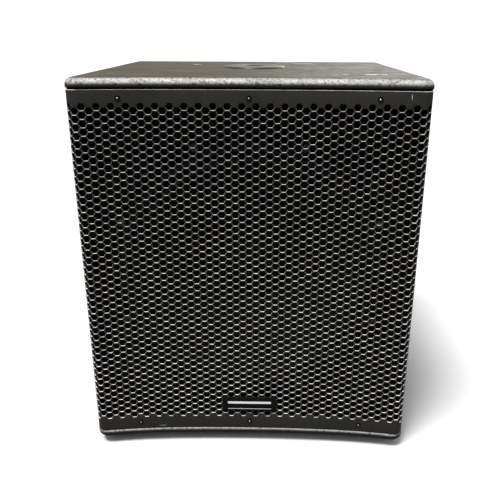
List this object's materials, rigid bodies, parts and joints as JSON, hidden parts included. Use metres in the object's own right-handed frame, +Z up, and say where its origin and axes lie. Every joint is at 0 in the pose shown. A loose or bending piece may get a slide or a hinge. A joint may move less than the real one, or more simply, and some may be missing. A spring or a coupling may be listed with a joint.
{
  "type": "powered subwoofer cabinet",
  "caption": "Plywood powered subwoofer with hollow-fronted steel hex grille, big woofer, slot ports, rear amplifier, side handles, pole socket and rubber feet.",
  "frame": {"origin": "centre of the bounding box's base, on the surface that the feet stand on", "axes": "+Z up, the grille faces -Y, the amplifier plate faces +Y, +X is to the right when the grille is looked at"},
  "size_m": [0.526, 0.5179, 0.6153],
  "materials": {
    "cabinet_paint": "black textured paint on plywood",
    "raw_plywood": "bare plywood",
    "grille_paint": "satin black powder coat",
    "black_steel": "satin black",
    "ferrite": "matt sintered",
    "cone_paper": "matt pressed paper",
    "treated_cloth": "doped cloth",
    "foam_rubber": "matt foam",
    "black_plastic": "fine grain",
    "grey_plastic": "smooth",
    "copper": "enamelled wire",
    "black_aluminium": "black anodised",
    "green_board": "solder mask",
    "lens": "clear moulded",
    "rubber": "matt"
  },
  "bodies": {
    "cabinet": {"top_panel": "cabinet_paint", "bottom_panel": "cabinet_paint", "left_side_panel": "cabinet_paint", "right_side_panel": "cabinet_paint", "rear_panel": "cabinet_paint", "front_baffle": "cabinet_paint", "grille_rail_bottom": "cabinet_paint", "grille_rail_top": "cabinet_paint", "port_frame": "raw_plywood", "cross_brace": "raw_plywood", "grille": "grille_paint", "grille_screw_top_left": "black_steel", "grille_screw_top_middle": "black_steel", "grille_screw_top_right": "black_steel", "grille_screw_bottom_left": "black_steel", "grille_screw_bottom_middle": "black_steel", "grille_screw_bottom_right": "black_steel", "woofer_basket": "black_steel", "magnet_top_plate": "black_steel", "pole_piece": "black_steel", "amp_plate": "black_steel", "amp_cover": "black_steel", "magnet_ring": "ferrite", "woofer_surround": "treated_cloth", "spider": "treated_cloth", "woofer_gasket": "foam_rubber", "badge": "black_plastic", "handle_cup_left": "black_plastic", "handle_cup_right": "black_plastic", "handle_grip_left": "black_plastic", "handle_grip_right": "black_plastic", "woofer_terminals": "black_plastic", "speaker_lead": "black_plastic", "input_socket_left": "black_plastic", "input_socket_right": "black_plastic", "output_socket_left": "black_plastic", "output_socket_right": "black_plastic", "mains_inlet": "black_plastic", "switch_frame": "black_plastic", "main_capacitor": "black_plastic", "transformer": "copper", "heat_sink": "black_aluminium", "pole_socket": "black_aluminium", "amp_board": "green_board", "supply_board": "green_board", "status_lens": "lens", "foot_front_left": "rubber", "foot_front_right": "rubber", "foot_rear_left": "rubber", "foot_rear_right": "rubber"},
    "cone_assembly": {"woofer_cone": "cone_paper", "dust_cap": "cone_paper", "coil_former": "grey_plastic", "voice_coil": "copper"},
    "rocker": {"power_rocker": "black_plastic"},
    "level_control": {"level_knob": "black_plastic"},
    "crossover_control": {"crossover_knob": "black_plastic"},
    "phase_control": {"phase_button": "grey_plastic"},
    "latch_left": {"input_latch_left": "black_plastic"},
    "latch_right": {"input_latch_right": "black_plastic"}
  },
  "joints": [
    {"name": "cone_slide", "type": "slide", "parent": "cabinet", "child": "cone_assembly", "axis": [0, -1, 0], "range_m": [-0.008, 0.008], "stiffness_N_per_m": 8000, "deforming": ["woofer_surround", "spider"]},
    {"name": "rocker_tip", "type": "hinge", "parent": "cabinet", "child": "rocker", "pos_m": [-0.04, 0.2386, 0.205], "axis": [-1, 0, 0], "range_deg": [0, 16]},
    {"name": "level_turn", "type": "hinge", "parent": "cabinet", "child": "level_control", "pos_m": [0.075, 0.2383, 0.335], "axis": [0, 1, 0], "range_deg": [-150, 150]},
    {"name": "crossover_turn", "type": "hinge", "parent": "cabinet", "child": "crossover_control", "pos_m": [0.025, 0.2383, 0.335], "axis": [0, 1, 0], "range_deg": [-150, 150]},
    {"name": "phase_push", "type": "slide", "parent": "cabinet", "child": "phase_control", "axis": [0, -1, 0], "range_m": [0, 0.003], "stiffness_N_per_m": 600},
    {"name": "latch_push_left", "type": "slide", "parent": "cabinet", "child": "latch_left", "axis": [0, -1, 0], "range_m": [0, 0.0015], "stiffness_N_per_m": 900},
    {"name": "latch_push_right", "type": "slide", "parent": "cabinet", "child": "latch_right", "axis": [0, -1, 0], "range_m": [0, 0.0015], "stiffness_N_per_m": 900}
  ]
}
